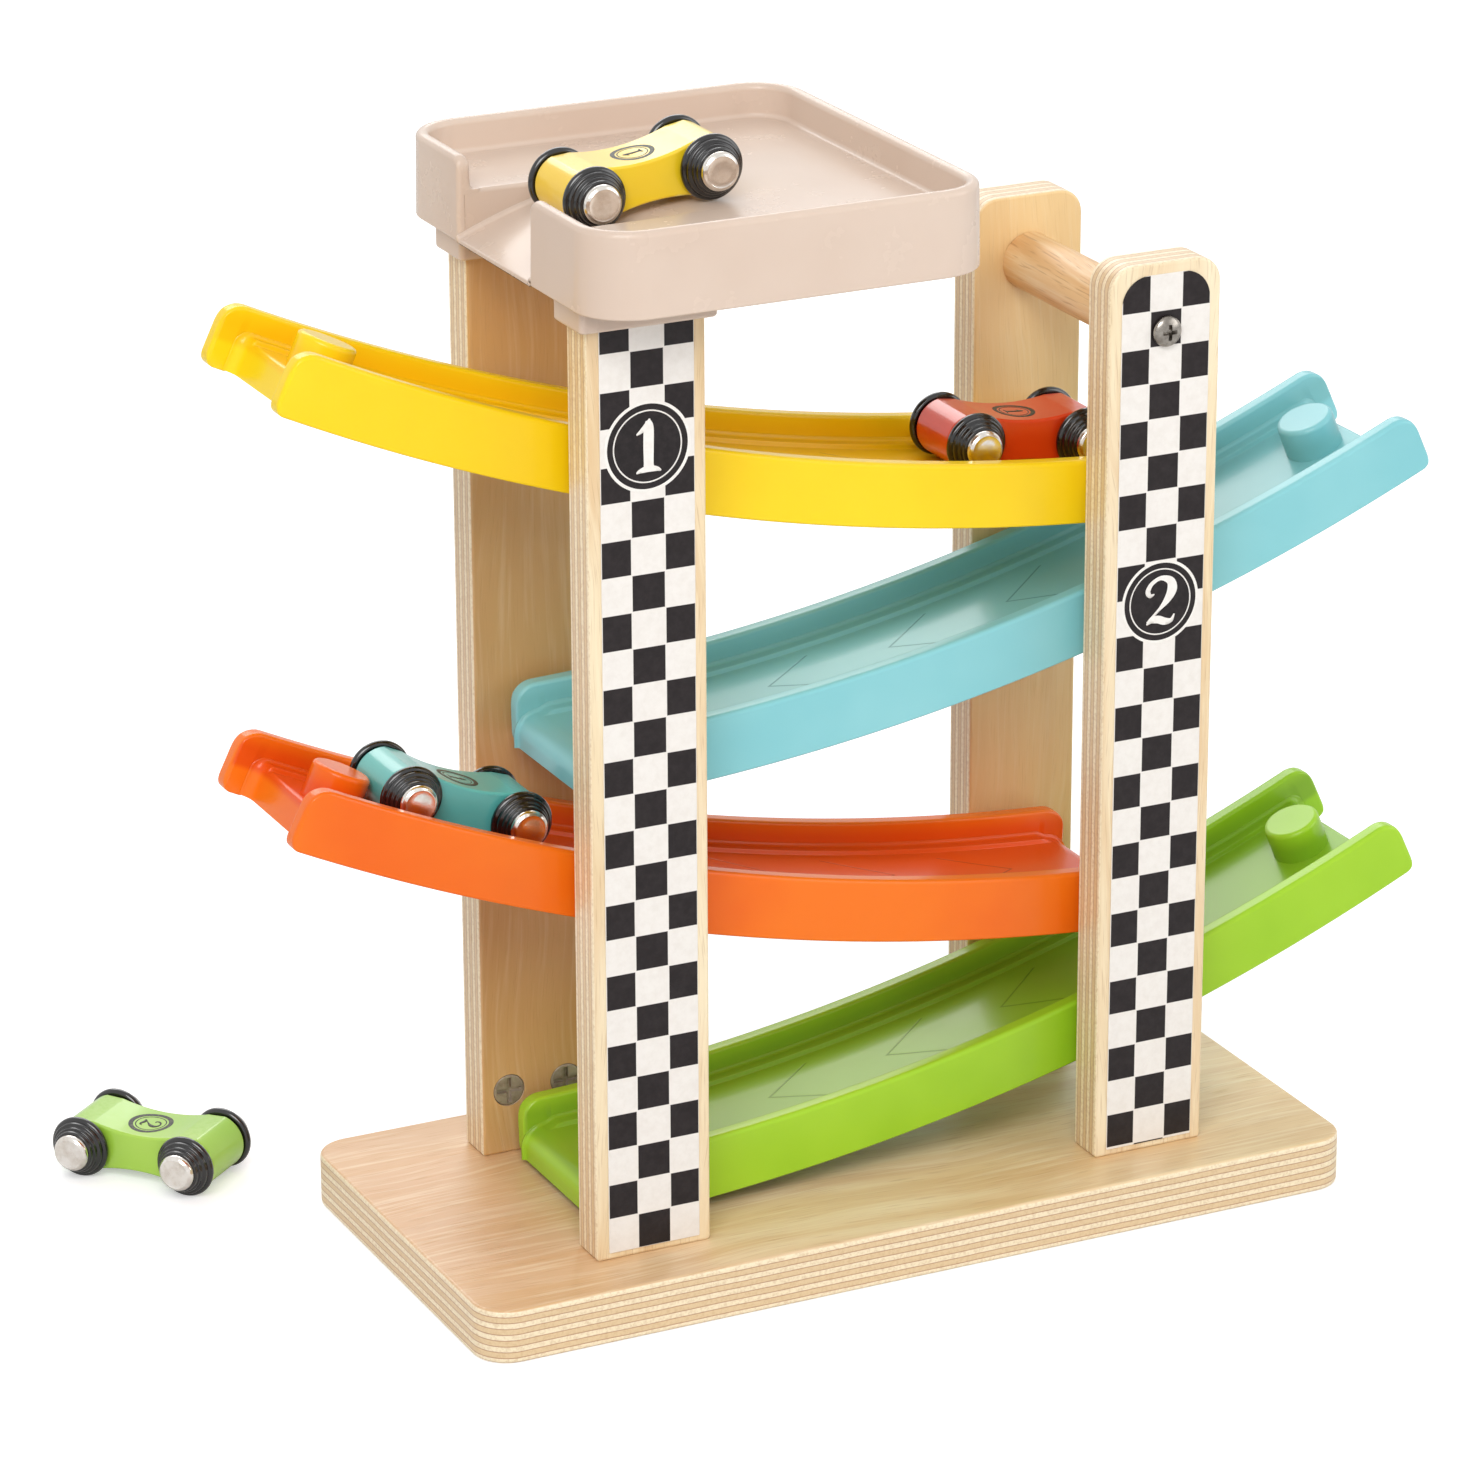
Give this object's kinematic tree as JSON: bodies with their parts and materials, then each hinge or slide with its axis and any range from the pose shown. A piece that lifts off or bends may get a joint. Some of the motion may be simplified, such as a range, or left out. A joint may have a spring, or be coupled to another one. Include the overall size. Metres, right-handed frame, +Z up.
{
  "type": "click clack track toy",
  "caption": "Wooden and plastic race track toy: chequered plywood posts hold curved ramps that zigzag down from a car park tray, and small wooden cars roll from ramp to ramp",
  "frame": {"origin": "centre of the base board's underside, on the surface that the toy stands on", "axes": "+X along the base board's length, from the tray to the crossbar; +Y from the front, chequered posts to the back posts; +Z up"},
  "size_m": [0.3594, 0.1851, 0.3081],
  "materials": {
    "plywood": "pale birch plywood with clear satin lacquer and visible plies on its edges",
    "dowel_wood": "turned light wood with clear satin lacquer",
    "sticker": "printed film, black and white chequers with a numbered disc, semi-gloss",
    "steel": "plated steel fastener",
    "screw_steel": "polished plated steel",
    "tray_plastic": "glossy beige moulded plastic",
    "yellow_plastic": "glossy yellow moulded plastic",
    "blue_plastic": "glossy light blue moulded plastic",
    "orange_plastic": "glossy orange moulded plastic",
    "green_plastic": "glossy lime green moulded plastic",
    "yellow_paint": "wood under glossy yellow paint",
    "red_paint": "wood under glossy orange-red paint",
    "teal_paint": "wood under glossy teal paint",
    "green_paint": "wood under glossy lime green paint",
    "wheel_rubber": "smooth glossy black rubber",
    "cap_chrome": "mirror chrome",
    "axle_steel": "drawn steel rod"
  },
  "bodies": {
    "toy": {"base": "plywood", "front_left_post": "plywood", "front_right_post": "plywood", "back_left_post": "plywood", "back_right_post": "plywood", "left_sticker": "sticker", "right_sticker": "sticker", "crossbar": "dowel_wood", "crossbar_screws": "screw_steel", "barrel_nuts": "steel", "base_bolts": "steel", "track_screws": "steel", "tray": "tray_plastic", "yellow_track": "yellow_plastic", "blue_track": "blue_plastic", "orange_track": "orange_plastic", "green_track": "green_plastic"},
    "yellow_car": {"yellow_car_body": "yellow_paint"},
    "red_car": {"red_car_body": "red_paint"},
    "teal_car": {"teal_car_body": "teal_paint"},
    "green_car": {"green_car_body": "green_paint"},
    "yellow_car_front_wheels": {"yellow_car_front_axle": "axle_steel", "yellow_car_front_left_wheel": "wheel_rubber", "yellow_car_front_right_wheel": "wheel_rubber", "yellow_car_front_caps": "cap_chrome"},
    "yellow_car_rear_wheels": {"yellow_car_rear_axle": "axle_steel", "yellow_car_rear_left_wheel": "wheel_rubber", "yellow_car_rear_right_wheel": "wheel_rubber", "yellow_car_rear_caps": "cap_chrome"},
    "red_car_front_wheels": {"red_car_front_axle": "axle_steel", "red_car_front_left_wheel": "wheel_rubber", "red_car_front_right_wheel": "wheel_rubber", "red_car_front_caps": "cap_chrome"},
    "red_car_rear_wheels": {"red_car_rear_axle": "axle_steel", "red_car_rear_left_wheel": "wheel_rubber", "red_car_rear_right_wheel": "wheel_rubber", "red_car_rear_caps": "cap_chrome"},
    "teal_car_front_wheels": {"teal_car_front_axle": "axle_steel", "teal_car_front_left_wheel": "wheel_rubber", "teal_car_front_right_wheel": "wheel_rubber", "teal_car_front_caps": "cap_chrome"},
    "teal_car_rear_wheels": {"teal_car_rear_axle": "axle_steel", "teal_car_rear_left_wheel": "wheel_rubber", "teal_car_rear_right_wheel": "wheel_rubber", "teal_car_rear_caps": "cap_chrome"},
    "green_car_front_wheels": {"green_car_front_axle": "axle_steel", "green_car_front_left_wheel": "wheel_rubber", "green_car_front_right_wheel": "wheel_rubber", "green_car_front_caps": "cap_chrome"},
    "green_car_rear_wheels": {"green_car_rear_axle": "axle_steel", "green_car_rear_left_wheel": "wheel_rubber", "green_car_rear_right_wheel": "wheel_rubber", "green_car_rear_caps": "cap_chrome"}
  },
  "joints": [
    {"name": "yellow_car_roll", "type": "hinge", "parent": "toy", "child": "yellow_car", "pos_m": [-0.0355, -0.003, 0.1405], "axis": [0, -1, 0], "range_deg": [-2, 9.5]},
    {"name": "red_car_roll", "type": "hinge", "parent": "toy", "child": "red_car", "pos_m": [0.11148, 0, 0.8299], "axis": [0, -1, 0], "range_deg": [-15.7, 0.6]},
    {"name": "teal_car_roll", "type": "hinge", "parent": "toy", "child": "teal_car", "pos_m": [0.11697, 0, 0.71207], "axis": [0, -1, 0], "range_deg": [0, 16.4]},
    {"name": "green_car_roll", "type": "slide", "parent": "toy", "child": "green_car", "axis": [0.6428, -0.766, 0], "range_m": [-0.1, 0.015]},
    {"name": "yellow_car_front_axle_spin", "type": "hinge", "parent": "yellow_car", "child": "yellow_car_front_wheels", "pos_m": [-0.07422, -0.003, 0.29472], "axis": [0, -1, 0], "continuous": true},
    {"name": "yellow_car_rear_axle_spin", "type": "hinge", "parent": "yellow_car", "child": "yellow_car_rear_wheels", "pos_m": [-0.04135, -0.003, 0.29939], "axis": [0, -1, 0], "continuous": true},
    {"name": "red_car_front_axle_spin", "type": "hinge", "parent": "red_car", "child": "red_car_front_wheels", "pos_m": [0.07046, 0, 0.21026], "axis": [0, 1, 0], "continuous": true},
    {"name": "red_car_rear_axle_spin", "type": "hinge", "parent": "red_car", "child": "red_car_rear_wheels", "pos_m": [0.0374, 0, 0.21333], "axis": [0, 1, 0], "continuous": true},
    {"name": "teal_car_front_axle_spin", "type": "hinge", "parent": "teal_car", "child": "teal_car_front_wheels", "pos_m": [-0.09594, 0, 0.12871], "axis": [0, 1, 0], "continuous": true},
    {"name": "teal_car_rear_axle_spin", "type": "hinge", "parent": "teal_car", "child": "teal_car_rear_wheels", "pos_m": [-0.12681, 0, 0.14092], "axis": [0, 1, 0], "continuous": true},
    {"name": "green_car_front_axle_spin", "type": "hinge", "parent": "green_car", "child": "green_car_front_wheels", "pos_m": [-0.15283, 0.08228, 0.0087], "axis": [0.766, 0.6428, 0], "continuous": true},
    {"name": "green_car_rear_axle_spin", "type": "hinge", "parent": "green_car", "child": "green_car_rear_wheels", "pos_m": [-0.17417, 0.10772, 0.0087], "axis": [0.766, 0.6428, 0], "continuous": true}
  ]
}
